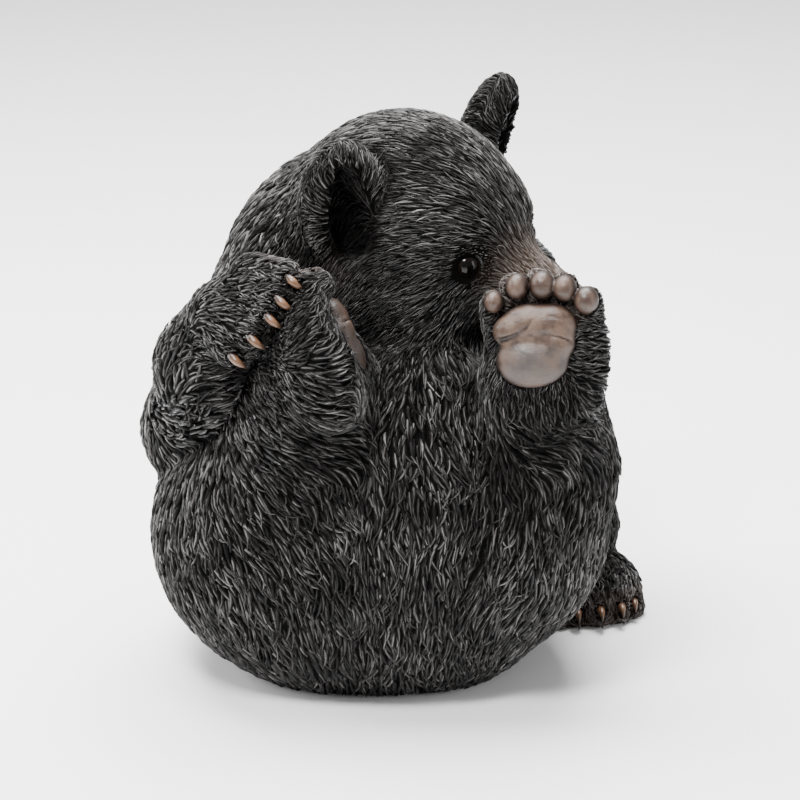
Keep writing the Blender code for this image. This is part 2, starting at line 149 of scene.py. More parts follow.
# Where the toes stand: across from the inner side to the outer, reach, and radius
TOES = ((-22, 20, 6.5), (-12.5, 27, 7.5), (-0.5, 28.5, 8.0), (11.5, 27, 8.0), (22.5, 20.5, 8.0))
# Where the claws of the gripping hand and of the resting hand lie
GRIP = ((-44, -85, 220), (-49, -89, 211), (-54, -91, 203), (-62, -92, 193), (-71, -90, 183))
REST = ((88, 16, 7), (97, 12, 8), (109, 12, 9), (120, 17, 9), (127, 26, 8))

# The eyes' places in the head's frame
EYES = ((49, -25, 12), (49, 25, 12))

# Each ear's place in the head's frame, side and radii, and the place and radii of its hollow
EARS = (
    ((-12, -49, 28), -1, (33, 17, 21), (3, 12, -4), (25, 20, 9.5)),
    ((2, 53, 36), 1, (34, 13.5, 20), (1, 13, 0), (25, 18, 12.5)),
)


def close_to(p, at, radius, form, margin=14):
    """The form where a point is near the given ball, and the distance to that ball elsewhere."""
    d = np.linalg.norm(p - np.asarray(at, np.float32), axis=1) - radius
    close = d < margin
    if close.any():
        d[close] = form(p[close])
    return d


def claw(p, frame, base, bend, tip, radius):
    """A claw that tapers from base to tip through a bend."""
    d = limb(p, base, bend, radius, radius * 0.8, frame)
    return joined(d, limb(p, bend, tip, radius * 0.8, radius * 0.25, frame), 1)


def muzzle(p):
    """The snout with its nose, nostrils, lips and chin."""
    d = limb(p, (40, 0, -2), (88, 0, -6), 27, 17, HEAD)
    d = joined(d, ball(p, (96, 0, -7), (13, 16, 13), HEAD), 8)
    jaw = limb(p, (36, 0, -28), (82, 0, -24), 22, 9, HEAD)
    d = joined(d, jaw, 2.5)
    nose = ball(p, (104, 0, -1), (8, 11, 8.5), HEAD)
    nose = joined(nose, ball(p, (106, 0, -7), (5, 5, 6), HEAD), 3)
    d = joined(d, nose, 1)
    for side in (-1, 1):
        d = carved(d, ball(p, (111, side * 5.5, -2.5), (4, 2.4, 3), HEAD), 1)
    d = carved(d, limb(p, (111, 0, -9), (104, 0, -19), 0.9, 0.9, HEAD), 1)
    return d


def head(p):
    d = ball(p, (-2, 0, 0), (60, 59, 59), HEAD)
    d = joined(d, ball(p, (24, 0, 18), (30, 32, 26), HEAD), 12)
    for side in (-1, 1):
        d = joined(d, ball(p, (34, side * 20, 20), (16, 15, 13), HEAD), 10)
        d = joined(d, ball(p, (16, side * 32, -22), (38, 26, 32), HEAD), 18)
    return joined(d, muzzle(p), 14)


def with_ears(p, d):
    """The head with its two cupped ears."""
    for place, side, radii, hollow, hollow_radii in EARS:
        up, ahead = HEAD.direction(0, side * 0.2, 0.98), HEAD.direction(0.94, side * 0.3, 0.0)
        ear = Frame(HEAD.point(*place), up, ahead)
        d = joined(d, ball(p, (0, 0, 0), radii, ear), 5)
        d = carved(d, ball(p, hollow, hollow_radii, ear), 4)
    return d


def eyelids(p, d):
    """The head with lids that swell round each glass eye and leave it a round opening."""
    for side, eye in zip((-1, 1), EYES):
        look = Frame(HEAD.point(*eye), HEAD.direction(0.72, side * 0.66, 0.16), HEAD.direction(0, 0, 1))
        out = (p - look.at) @ look.axes[0]
        opening = limb(p, (LID_EDGE + 6, 0, 0), (LID_EDGE + 16, 0, 0), EYE_RADIUS, EYE_RADIUS + 6, look)
        d = carved(d, opening, 2)
        lid = np.maximum(ball(p, (0, 0, 0), (LID_RADIUS,) * 3, look), out - LID_EDGE)
        d = joined(d, lid.astype(np.float32), 1)
    return d


def trunk(p):
    d = ball(p, (-7, 2, 70), (102, 103, 93))
    d = joined(d, ball(p, (5, -22, 110), (72, 74, 64)), 20)
    d = joined(d, ball(p, (-10, 38, 167), (77, 66, 86)), 30)
    d = joined(d, ball(p, (12, -52, 152), (40, 24, 26)), 8)
    for x in (-42, 30):
        d = joined(d, ball(p, (x, -30, 43), (46, 56, 43)), 14)
    return joined(d, ball(p, (-4, 100, 36), (12, 12, 17)), 10)


def hind_foot(p, frame, inner):
    """A foot with its toes, pads and claws. inner, -1 or 1, is the side where the first toe lies."""
    d = ball(p, (-1, -13, 3 * -inner), (33, 16, 28), frame)
    d = joined(d, ball(p, (-16, -16, 2 * -inner), (24, 17, 25), frame), 8)
    pads = None
    for across, reach, radius in TOES:
        across *= -inner
        toe = limb(p, (reach - 14, -9, across * 0.9), (reach, -5, across), radius, radius, frame)
        d = joined(d, toe, 2.5)
        d = joined(d, claw(p, frame, (reach, -12, across), (reach + 5, -13, across * 1.02),
                           (reach + 7, -11, across * 1.04), 2.6), 0.8)
        pad = ball(p, (reach, 1.5, across), (radius * 0.85, 5.5, radius * 0.76), frame)
        pads = pad if pads is None else np.minimum(pads, pad)
    sole = ball(p, (9.5, 1, -inner * 6), (9.5, 7, 11), frame)
    sole = joined(sole, ball(p, (10, 1, inner * 5), (9, 7, 11), frame), 4)
    sole = joined(sole, ball(p, (6.5, 1, inner * 14.5), (6.5, 6.5, 6.5), frame), 4)
    sole = joined(sole, ball(p, (-7.5, 1, inner * 3), (12.5, 7.3, 16.5), frame), 1)
    sole = joined(sole, ball(p, (1, 1, -inner * 9), (8, 6.5, 7), frame), 3)
    return joined(d, joined(pads, sole, 1), 1)


def left_leg(p):
    d = limb(p, (71, -72, 165), (74, -56, 118), 27, 36)
    d = joined(d, ball(p, (57, -26, 82), (51, 72, 64)), 18)
    foot = close_to(p, LEFT_FOOT.at, 50, lambda q: hind_foot(q, LEFT_FOOT, -1))
    return joined(d, foot, 12)


def right_leg(p):
    d = limb(p, (-37, -69, 166), (-46, -54, 110), 29, 43)
    d = joined(d, ball(p, (-60, -24, 73), (57, 72, 66)), 18)
    foot = close_to(p, RIGHT_FOOT.at, 50, lambda q: hind_foot(q, RIGHT_FOOT, 1))
    return joined(d, foot, 9)


def hand(p, frame, claws, palm):
    """A paw whose fingers reach to the given places, each with its claw along the frame's first axis."""
    d = ball(p, (0, 0, 0), palm, frame)
    for place in claws:
        reach, height, across = (np.array(place) - frame.at) @ frame.axes.T
        finger = limb(p, (reach - 20, -4, across * 0.6), (reach - 6, height - 5, across), 9, 5.5, frame)
        d = joined(d, finger, 8)
        d = joined(d, claw(p, frame, (reach - 4, height - 2, across), (reach + 2, height, across),
                           (reach + 5, height - 4, across), 2.8), 0.8)
    return d


def right_arm(p):
    d = limb(p, (-56, 30, 166), (-90, -8, 122), 37, 27)
    d = joined(d, limb(p, (-91, -14, 120), (-85, -46, 166), 29, 25), 14)
    grip = close_to(p, RIGHT_HAND.at, 48, lambda q: hand(q, RIGHT_HAND, GRIP, (18, 14, 17)))
    return joined(d, joined(limb(p, (-85, -46, 166), (-76, -58, 192), 25, 20), grip, 8), 10)


def left_arm(p):
    d = limb(p, (50, 36, 172), (80, 58, 98), 38, 26)
    d = joined(d, limb(p, (80, 58, 98), (100, 60, 38), 26, 19), 10)
    palm = close_to(p, LEFT_HAND.at, 48, lambda q: hand(q, LEFT_HAND, REST, (25, 14, 24)))
    return joined(d, palm, 8)


def figure(p):
    """The whole cast figure, without its fur."""
    d = joined(trunk(p), eyelids(p, with_ears(p, head(p))), 10)
    for form, blend in ((left_leg, 10), (right_leg, 10), (right_arm, 4), (left_arm, 8)):
        d = joined(d, form(p), blend)
    return np.maximum(d, -p[:, 2] + FLOOR)


# The fur lies along these strokes: a place, and the way the hair grows there.
STROKES = (
    ((53, -18, 245), (-1, 0.2, 0.5)), ((24, -16, 265), (-1, 0.1, 0.2)), ((-5, 0, 271), (-1, 0.1, 0)),
    ((19, -45, 228), (-1, 0, 0)), ((10, -50, 205), (-0.9, -0.2, -0.4)),
    ((29, -45, 183), (-0.6, -0.2, -0.7)), ((-5, -47, 184), (-0.8, -0.2, -0.6)),
    ((77, -32, 210), (-0.9, 0.3, 0.6)), ((90, -20, 195), (-0.8, 0.6, 0.2)),
    ((60, 30, 225), (-0.5, 0.9, 0.1)), ((50, 40, 195), (-0.3, 0.9, -0.4)),
    ((20, 60, 235), (-0.8, 0.5, -0.3)), ((-34, -20, 225), (-0.5, 0.1, -0.9)),
    ((-40, 30, 250), (-0.8, 0.4, -0.5)), ((-64, 15, 226), (-0.4, 0.1, -1)),
    ((-74, 9, 200), (-0.3, -0.1, -1)), ((-20, 100, 200), (0, 0.3, -1)), ((-10, 102, 120), (0, 0, -1)),
    ((0, 105, 40), (0, 0, -1)), ((60, 90, 110), (0, 0, -1)), ((-75, 80, 110), (0, 0, -1)),
    ((-90, -50, 190), (0.8, 0.1, 0.4)), ((-70, -82, 200), (0.8, -0.2, -0.2)),
    ((-104, -50, 165), (0.2, -0.3, 0.9)), ((-113, -20, 128), (-0.2, -0.4, -0.9)),
    ((-85, 30, 150), (-0.4, -0.3, -0.9)), ((-27, -100, 202), (-0.9, 0, 0.4)),
    ((-32, -105, 180), (0.9, -0.1, -0.2)), ((-56, -92, 149), (0.8, -0.2, -0.4)),
    ((-23, -91, 144), (0.9, -0.1, -0.3)), ((-96, -75, 107), (0.2, -0.3, -0.9)),
    ((-62, -94, 105), (0.6, -0.3, -0.8)), ((-28, -96, 100), (0.6, -0.3, -0.8)),
    ((-43, -93, 52), (0.3, 0, -1)), ((3, -60, 165), (-0.3, -0.5, -0.8)),
    ((24, -59, 163), (0.4, -0.5, -0.8)), ((5, -83, 146), (-0.3, -0.3, -0.9)),
    ((24, -86, 137), (0.5, -0.3, -0.8)), ((-8, -98, 111), (-0.1, -0.3, -1)),
    ((19, -97, 111), (0.1, -0.3, -1)), ((7, -101, 82), (0, 0, -1)), ((5, -93, 37), (0, 0, -1)),
    ((45, -84, 136), (-0.1, -0.3, -0.9)), ((38, -95, 94), (-0.3, -0.3, -0.9)),
    ((71, -98, 142), (1, -0.1, -0.2)), ((95, -87, 143), (0.8, 0.2, -0.5)),
    ((81, -91, 114), (-0.1, -0.3, -1)), ((101, -76, 108), (0.1, -0.2, -1)),
    ((63, -93, 63), (-0.4, 0, -0.9)), ((43, -84, 171), (-0.7, -0.2, -0.6)),
    ((98, -92, 189), (0.7, 0.7, -0.1)), ((70, -106, 165), (0, -0.3, -1)), ((70, -60, 195), (0, 0.3, 1)),
    ((108, 15, 24), (0.1, -0.9, -0.3)), ((104, 45, 50), (0.2, -0.3, -0.9)), ((85, 50, 110), (0.2, 0, -1)),
    ((0, 0, 0), (0, 0, -1)),
)


def slope(p, form=None, step=0.7):
    """The outward direction of the surface nearest to each point."""
    form = form or figure
    p = p.astype(np.float32)
    offsets = np.eye(3, dtype=np.float32) * step
    g = np.stack([form(p + o) - form(p - o) for o in offsets], 1)
    return g / np.maximum(np.linalg.norm(g, axis=1, keepdims=True), 1e-6)


def hair_direction(p, normal):
    """The way the hair grows at each point, along the surface."""
    total = np.zeros_like(p)
    for place, direction in STROKES:
        near = ((p - np.array(place)) ** 2).sum(1) + 90
        total += unit_vector(direction) / (near**2)[:, None]
    total -= normal * (total * normal).sum(1, keepdims=True)
    return total / np.maximum(np.linalg.norm(total, axis=1, keepdims=True), 1e-12)


def stepped_field(form, low, high, step, coarse=3, reach=6.0):
    """The distance at each node of a grid, worked out only near the surface and filled in elsewhere."""
    counts = [int(math.ceil((h - l) / (step * coarse))) for l, h in zip(low, high)]
    coarse_ticks = [l + np.arange(n + 1) * step * coarse for l, n in zip(low, counts)]
    grid = np.stack(np.meshgrid(*coarse_ticks, indexing="ij"), -1).reshape(-1, 3).astype(np.float32)
    value = np.concatenate([form(part) for part in np.array_split(grid, 8)])
    value = value.reshape([n + 1 for n in counts])
    for axis in range(3):
        value = np.moveaxis(value, axis, 0)
        shares = (np.arange(coarse) / coarse)[None, :, None, None]
        between = value[:-1, None] * (1 - shares) + value[1:, None] * shares
        value = np.concatenate([between.reshape(-1, *value.shape[1:]), value[-1:]])
        value = np.moveaxis(value, 0, axis)
    ticks = [l + np.arange(n * coarse + 1) * step for l, n in zip(low, counts)]
    near = np.argwhere(np.abs(value) < reach + step * coarse * 0.5)
    places = np.stack([ticks[axis][near[:, axis]] for axis in range(3)], 1).astype(np.float32)
    exact = np.concatenate([form(part) for part in np.array_split(places, 16)])
    value = value.astype(np.float32)
    value[tuple(near.T)] = exact
    return ticks, value


def skin(form, low, high, step, settle=2):
    """Points, outward directions and four-sided faces of the surface where the form is zero."""
    ticks, value = stepped_field(form, low, high, step)
    inside = value < 0
    cells = tuple(n - 1 for n in value.shape)
    total = np.zeros((*cells, 3), np.float32)
    number = np.zeros(cells, np.int8)
    faces = []
    for axis in range(3):
        first = [slice(None)] * 3
        second = [slice(None)] * 3
        first[axis] = slice(0, -1)
        second[axis] = slice(1, None)
        a, b = value[tuple(first)], value[tuple(second)]
        crossing = np.argwhere(inside[tuple(first)] != inside[tuple(second)])
        index = tuple(crossing.T)
        share = a[index] / (a[index] - b[index])
        point = np.stack([ticks[i][crossing[:, i]] for i in range(3)], 1)
        point[:, axis] += share * step
        u, v = [i for i in range(3) if i != axis]
        corners = []
        whole = np.ones(len(crossing), bool)
        for du, dv in ((0, 0), (1, 0), (1, 1), (0, 1)):
            cell = crossing.copy()
            cell[:, u] -= du
            cell[:, v] -= dv
            corners.append(cell)
            whole &= (cell >= 0).all(1) & (cell < np.array(cells)).all(1)
        for cell in corners:
            some = tuple(cell[whole].T)
            np.add.at(total, some, point[whole])
            np.add.at(number, some, 1)
        outward = inside[tuple(first)][index][whole]
        ring = np.stack([np.ravel_multi_index(cell[whole].T, cells) for cell in corners], 1)
        if axis == 1:
            outward = ~outward
        ring[outward] = ring[outward][:, ::-1]
        faces.append(ring)
    faces = np.concatenate(faces)
    used = np.flatnonzero(number.ravel())
    renumber = np.zeros(number.size, np.int64)
    renumber[used] = np.arange(len(used))
    points = total.reshape(-1, 3)[used] / number.ravel()[used][:, None]
    for _ in range(settle):
        normal, distance = slope(points, form), form(points.astype(np.float32))
        points = points - normal * np.clip(distance, -step, step)[:, None]
    return points, slope(points, form), renumber[faces]


def mesh_object(name, points, faces, smooth=True):
    """An object from points in units and an array of faces with as many corners each."""
    mesh = bpy.data.meshes.new(name)
    corners = faces.shape[1]
    mesh.vertices.add(len(points))
    mesh.vertices.foreach_set("co", (points * UNIT).astype(np.float32).ravel())
    mesh.loops.add(faces.size)
    mesh.loops.foreach_set("vertex_index", faces.astype(np.int32).ravel())
    mesh.polygons.add(len(faces))
    mesh.polygons.foreach_set("loop_start", np.arange(0, faces.size, corners, dtype=np.int32))
    mesh.polygons.foreach_set("use_smooth", np.full(len(faces), smooth))
    mesh.update(calc_edges=True)
    made = bpy.data.objects.new(name, mesh)
    bpy.context.collection.objects.link(made)
    return made


def give(made, name, values):
    """Stores a number at each point of the mesh for its material to read."""
    layer = made.data.attributes.new(name, "FLOAT", "POINT")
    layer.data.foreach_set("value", np.asarray(values, np.float32))


def lay_out(made, corner_places, per_cell=1):
    """Gives each run of per_cell faces a cell of its own in a square layout for baking."""
    count = len(made.data.polygons) // per_cell
    side = int(math.ceil(math.sqrt(count)))
    cell = np.repeat(np.arange(count), corner_places.shape[0])
    local = np.tile(corner_places, (count, 1))
    origin = np.stack([cell % side, cell // side], 1)
    layer = made.data.uv_layers.new(name="OFBake")
    layer.data.foreach_set("uv", ((origin + local) / side).astype(np.float32).ravel())


def soft_step(x, low, high):
    t = np.clip((x - low) / (high - low), 0, 1)
    return t * t * (3 - 2 * t)


# The finer fur needs more strokes at the shoulders and the elbow, and another one on the shank
PARTED = (-27, -100, 202)
STROKES = tuple(stroke for stroke in STROKES if stroke[0] != PARTED) + (
    (PARTED, (0.4, -0.1, 0.8)), ((-28, -103, 190), (0.7, -0.1, 0.4)), ((-22, -94, 168), (0.6, -0.3, -0.6)),
    ((60, 5, 180), (0.2, 0.1, -1)), ((72, 25, 165), (0.2, 0.2, -1)), ((62, 55, 185), (-0.1, 0.5, -0.8)),
    ((50, -12, 172), (0.3, -0.3, -0.9)), ((-118, -30, 140), (-0.1, -1, 0.1)),
    ((-108, 5, 150), (-0.2, -0.6, -0.8)), ((-104, -30, 165), (0.1, -0.8, 0.5)),
    ((-70, 50, 180), (-0.3, 0.1, -1)),
)


def shape(p):
    """The figure with the left foot's toes slimmed to leave room for their fur."""
    local = (p - LEFT_FOOT.at) @ LEFT_FOOT.axes.T
    toes = soft_step(local[:, 0], 14, 22) * soft_step(local[:, 1], -22, -14)
    return figure(p) + (1.6 * toes * (np.linalg.norm(local, axis=1) < 48)).astype(np.float32)


def ear_frame(place, side):
    up, ahead = HEAD.direction(0, side * 0.2, 0.98), HEAD.direction(0.94, side * 0.3, 0.0)
    return Frame(HEAD.point(*place), up, ahead)


def fur_direction(p, normal):
    """The way the fur lies: as the hair grows, but away from the hollows on the ears' rims."""
    way = hair_direction(p, normal)
    for place, side, radii, hollow, _ in EARS:
        ear = ear_frame(place, side)
        local = (p - ear.at) @ ear.axes.T
        share = 1 - soft_step(ball(p.astype(np.float32), (0, 0, 0), radii, ear), 3, 7)
        share = share * soft_step(local[:, 1], -4, 0)
        away = local - np.array(hollow)
        away[:, 1] = -5
        away = away / np.maximum(np.linalg.norm(away, axis=1, keepdims=True), 1e-6)
        way = way * (1 - share[:, None]) + (away @ ear.axes) * share[:, None]
    way = way - normal * (way * normal).sum(1, keepdims=True)
    return way / np.maximum(np.linalg.norm(way, axis=1, keepdims=True), 1e-12)


# Places that carry no fur, and how the fur's size and colour change over the figure


def bare(p):
    """How far a point is from the pads, the claws, the nose and the eyes, which carry no fur."""
    d = np.linalg.norm(p - HEAD.point(104, 0, -3), axis=1) - 13
    for eye in EYES:
        d = np.minimum(d, np.linalg.norm(p - HEAD.point(*eye), axis=1) - LID_RADIUS - 3.0)
    for frame in (LEFT_FOOT, RIGHT_FOOT):
        d = np.minimum(d, np.minimum(*smooth_soles(p.astype(np.float32), frame)) - 0.4)
    for base, bend, tip, radius in all_claws():
        d = np.minimum(d, np.linalg.norm(p - (base + bend) / 2, axis=1) - radius - 1)
        d = np.minimum(d, np.linalg.norm(p - (bend + tip) / 2, axis=1) - radius - 0.5)
    return d


def fur_size(p):
    """The size of the locks: short and fine on the face, long and coarse on the rump."""
    near_head = np.linalg.norm(p - HEAD.point(10, 0, 0), axis=1)
    near_nose = np.linalg.norm(p - HEAD.point(90, 0, -5), axis=1)
    size = 0.60 + 0.38 * soft_step(near_head, 58, 90)
    size -= 0.2 * (1 - soft_step(near_nose, 15, 55))
    for hand in (RIGHT_HAND, LEFT_HAND):
        size -= 0.4 * (1 - soft_step(np.linalg.norm(p - hand.at, axis=1), 22, 62))
    for foot in (LEFT_FOOT, RIGHT_FOOT):
        size -= 0.3 * (1 - soft_step(np.linalg.norm(p - foot.at, axis=1), 24, 62))
    for place, *_ in EARS:
        near_ear = np.linalg.norm(p - HEAD.point(*place), axis=1)
        size = np.minimum(size, 0.5 + 0.3 * soft_step(near_ear, 30, 60))
    size = np.minimum(size, 0.38 + 0.5 * soft_step(bare(p), 1, 16))
    return np.clip(size, 0.36, 1.1)


def sleekness(p):
    """One on the head, whose fur lies in long even strokes, and less on the body."""
    return 0.35 + 0.65 * (1 - soft_step(np.linalg.norm(p - HEAD.point(20, 0, 0), axis=1), 60, 84))


def brown_tint(p):
    """One on the snout and falling to nothing round the eyes and towards the back of the feet."""
    d = np.linalg.norm(p - HEAD.point(84, 0, 4), axis=1)
    tint = 1 - soft_step(d, 14, 44)
    for foot in (LEFT_FOOT, RIGHT_FOOT):
        toes = np.linalg.norm(p - foot.point(30, -6, 0), axis=1)
        tint = np.maximum(tint, 0.45 * (1 - soft_step(toes, 18, 34)))
    for place in REST:
        claw_at = np.linalg.norm(p - np.array(place), axis=1)
        tint = np.maximum(tint, 0.4 * (1 - soft_step(claw_at, 6, 14)))
    return tint


LIT_CROWN = (19, -27, 258)  # the middle of the head's top, where the most grey shows, as a painted highlight from the light above

# Painted shade: places where less rubbed grey shows, to stand in for shade; each place, how far it reaches,
# and how much grey is left at its middle
PAINTED_SHADE = (
    ((22, -44, 190), 52, 0.72), ((52, -62, 172), 34, 0.4), ((-12, -70, 178), 30, 0.5),
    ((84, -98, 135), 62, 0.52), ((6, -98, 96), 80, 0.85), ((-54, -92, 136), 60, 0.6),
    ((-33, -104, 195), 42, 0.62), ((-43, -96, 50), 70, 0.80), ((-90, -80, 95), 60, 0.82),
)


def painted_light_and_shade(p):
    """How much grey shows on the crests, as painted light and shade: more towards the top of the head as a
    painted highlight, less as painted shade in the ears' hollows, round the ears and in folds in shade. It
    also scales the crests' specular.
    """
    light = np.ones(len(p))
    for place, side, radii, hollow, hollow_radii in EARS:
        ear = ear_frame(place, side)
        # Painted shade: least grey in each ear's hollow, less in a band just off the ear where it meets the
        # head, and less on and close round the ear
        inside = ball(p.astype(np.float32), hollow, hollow_radii, ear)
        light = np.minimum(light, 0.12 + 0.88 * soft_step(inside, -1.5, 3.5))
        off_ear = ball(p.astype(np.float32), (0, 0, 0), radii, ear)
        light = np.minimum(light, 0.35 + 0.65 * soft_step(np.abs(off_ear - 5.5), 0.5, 4.0))
        light = np.minimum(light, 0.62 + 0.38 * soft_step(off_ear, 4, 9))
    # Painted shade at each listed place
    for at, radius, least in PAINTED_SHADE:
        near = np.linalg.norm(p - np.array(at), axis=1)
        light = np.minimum(light, least + (1 - least) * soft_step(near, radius * 0.5, radius))
    # Painted highlight: more grey towards the top of the head, as if lit from above
    crown = np.linalg.norm(p - np.array(LIT_CROWN), axis=1)
    return light * (1 + 0.25 * (1 - soft_step(crown, 25, 60)))


# Forms that have a finer surface of their own

# Where the pads are creased: rows of places, each with its reach and across, and the creases' half widths
SOLE_CREASES = (
    (((1.8, -18.5), (3.0, -14), (5.0, -10), (8.0, -6), (11.5, -3)), 1.5, 0.5),
    (((2.8, -12), (4.6, -4), (5.2, 3), (4.2, 10), (1.5, 16)), 0.55, 0.35),
    (((14, 5), (12.5, 11)), 0.3, 0.25),
)


# The pads under the toes: across from the inner side to the outer, reach, and half widths along both
TOE_PADS = (
    (-21.3, 20.2, 4.6, 5.4), (-10.4, 27.3, 5.4, 6.4), (1.3, 28.1, 6.0, 6.8), (11.8, 26.6, 5.7, 6.4),
    (21.8, 21.0, 5.9, 6.7),
)


def smooth_soles(p, frame):
    """The pads of a hind foot without their creases: one under each toe and the broad one behind them."""
    inner = -1 if frame is LEFT_FOOT else 1
    found = None
    height = 0.8 if frame is LEFT_FOOT else -0.5
    for across, reach, half_across, half_reach in TOE_PADS:
        pad = ball(p, (reach, height, -inner * across), (half_reach, 6.8, half_across), frame)
        found = pad if found is None else np.minimum(found, pad)
    front = ball(p, (9.5, 1, -inner * 6), (10, 8, 11.5), frame)
    front = joined(front, ball(p, (10, 1, inner * 5), (9.5, 8, 11.5), frame), 4)
    front = joined(front, ball(p, (6.5, 1, inner * 14.5), (7.2, 7.2, 7.4), frame), 4)
    sole = joined(front, ball(p, (-7.5, 1, inner * 3), (13, 8.3, 17), frame), 3)
    sole = joined(sole, ball(p, (1, 1, -inner * 9), (8, 7.4, 7.8), frame), 3)
    return found, sole


def crease_places(frame):
    """The creases' places on the pads, each pair of neighbours with the half widths there."""
    inner = -1 if frame is LEFT_FOOT else 1
    out = frame.direction(0, 1, 0)
    pairs = []
    for places, wide, narrow in SOLE_CREASES:
        at = np.array([frame.point(reach, 16, across * -inner) for reach, across in places])
        for _ in range(12):
            at -= out * smooth_soles(at.astype(np.float32), frame)[1][:, None]
            height = (at - frame.at) @ frame.axes[1]
            at += out * np.maximum(4.5 - height, 0)[:, None]
        widths = np.linspace(wide, narrow, len(at))
        for i in range(len(at) - 1):
            pairs.append((at[i], at[i + 1], widths[i], widths[i + 1]))
    return pairs


CREASES = {id(frame): crease_places(frame) for frame in (LEFT_FOOT, RIGHT_FOOT)}


def soles(p, frame):
    """The pads of a hind foot with their creases."""
    toes, sole = smooth_soles(p, frame)
    for start, end, wide, narrow in CREASES[id(frame)]:
        sole = carved(sole, limb(p, start, end, wide, narrow), 1.0)
    return np.minimum(toes, sole)


def nose(p):
    d = ball(p, (104, 0, -1), (8.6, 11.4, 9), HEAD)
    d = joined(d, ball(p, (106, 0, -8), (5.4, 4.5, 7), HEAD), 3)
    for side in (-1, 1):
        d = carved(d, ball(p, (112, side * 5.5, -2.5), (5, 2.6, 3.2), HEAD), 1.2)
        d = carved(d, limb(p, (109, side * 8, -3.5), (102, side * 12, -1), 1.0, 0.8, HEAD), 1)
    return carved(d, limb(p, (113, 0, -4), (107, 0, -17), 0.8, 0.8, HEAD), 1)


def eyelid_rings(p):
    found = None
    for side, eye in zip((-1, 1), EYES):
        look = eye_frame(side, eye)
        local = (p - look.at) @ look.axes.T
        around = np.hypot(local[:, 1], local[:, 2] * 0.93)
        ring = np.hypot(around - 6.7, local[:, 0] - LID_EDGE - 0.9) - 0.75
        found = ring if found is None else np.minimum(found, ring)
    return found.astype(np.float32)


def eye_frame(side, eye):
    """A frame at the eye's middle whose first axis runs the way the eye looks."""
    return Frame(HEAD.point(*eye), HEAD.direction(0.72, side * 0.66, 0.16), HEAD.direction(0, 0, 1))


def claw_mesh(places):
    """Curved tapering claws from their bases, bends, tips and radii, and each point's share along."""
    points, shares, faces = [], [], []
    around, along = 10, 8
    for base, bend, tip, radius in places:
        base, bend, tip = (np.array(v, float) for v in (base, bend, tip))
        start = len(points)
        side = unit_vector(np.cross(bend - base, tip - bend) + 1e-6)
        for i in range(along + 1):
            t = i / along
            middle = (1 - t) ** 2 * base + 2 * t * (1 - t) * bend + t * t * tip
            way = unit_vector(2 * (1 - t) * (bend - base) + 2 * t * (tip - bend))
            over = np.cross(side, way)
            width = radius * (1 - 0.93 * t**2.2)
            for j in range(around):
                turn = 2 * math.pi * j / around
                points.append(middle + side * math.cos(turn) * width * 0.85 + over * math.sin(turn) * width)
                shares.append(t)
        for i in range(along):
            for j in range(around):
                beside = (j + 1) % around
                a, b = start + i * around + j, start + i * around + beside
                faces.append((a, b, b + around, a + around))
    return np.array(points), np.array(shares), np.array(faces)


def all_claws():
    """Every claw's base, bend, tip and radius, in units."""
    places = []
    for foot, inner in ((LEFT_FOOT, -1), (RIGHT_FOOT, 1)):
        for across, reach, _ in TOES:
            across *= -inner
            places.append((foot.point(reach - 5, -11, across), foot.point(reach + 4.5, -17, across * 1.02),
                           foot.point(reach + 6.5, -9, across * 1.05), 2.7))
    for hand, claws in ((RIGHT_HAND, GRIP), (LEFT_HAND, REST)):
        for place in claws:
            reach, height, across = (np.array(place) - hand.at) @ hand.axes.T
            bend = hand.point(reach + 1, height + 4.5, across)
            places.append((hand.point(reach - 5, height - 2, across), bend,
                           hand.point(reach + 5.5, height - 1.5, across), 2.6))
    return places


# Fur: closed locks with a crest, rooted along the skin

MOST_LOCKS = 8900  # in one piece
STATIONS = 5  # from a lock's root to its tip
# At each station, as shares: half the width, the crest's height, and how far the edges lift
WIDTHS = np.array([0.45, 1.0, 1.0, 0.68, 0.0])
CRESTS = np.array([-0.2, 0.50, 0.85, 1.08, 1.0])
LIFTS = np.array([0.0, 0.10, 0.30, 0.58, 0.9])
WAVES = [(chance.normal(size=3), chance.uniform(0, 2 * math.pi)) for _ in range(5)]


def waves(p, length):
    """A smooth uneven value, about -1 to 1, that changes over about the given length."""
    total = 0
    for way, start in WAVES:
        total = total + np.sin(p @ way * (3.6 / length) + start)
    return total / 2.4


def scattered(points, faces, spacing_of, tries):
    """Random points on the skin that stand apart by a spacing that changes over it."""
    a, b, c, d = (points[faces[:, i]] for i in range(4))
    area = np.linalg.norm(np.cross(c - a, d - b), axis=1)
    pick = chance.choice(len(faces), tries, p=area / area.sum())
    u, v = chance.random((2, tries, 1))
    at = (a[pick] * (1 - u) + b[pick] * u) * (1 - v) + (d[pick] * (1 - u) + c[pick] * u) * v
    gap = spacing_of(at)
    at = at[gap > 0]
    gap = gap[gap > 0]
    cell = float(gap.max())
    keys = np.floor(at / cell).astype(int).tolist()
    place, gaps = at.tolist(), gap.tolist()
    kept, taken = [], {}
    steps = [(i, j, k) for i in (-1, 0, 1) for j in (-1, 0, 1) for k in (-1, 0, 1)]
    for index, (x, y, z) in enumerate(place):
        kx, ky, kz = keys[index]
        limit = gaps[index] ** 2
        free = True
        for i, j, k in steps:
            for ox, oy, oz in taken.get((kx + i, ky + j, kz + k), ()):
                if (x - ox) ** 2 + (y - oy) ** 2 + (z - oz) ** 2 < limit:
                    free = False
                    break
            if not free:
                break
        if free:
            kept.append(index)
            taken.setdefault((kx, ky, kz), []).append((x, y, z))
    return at[kept]


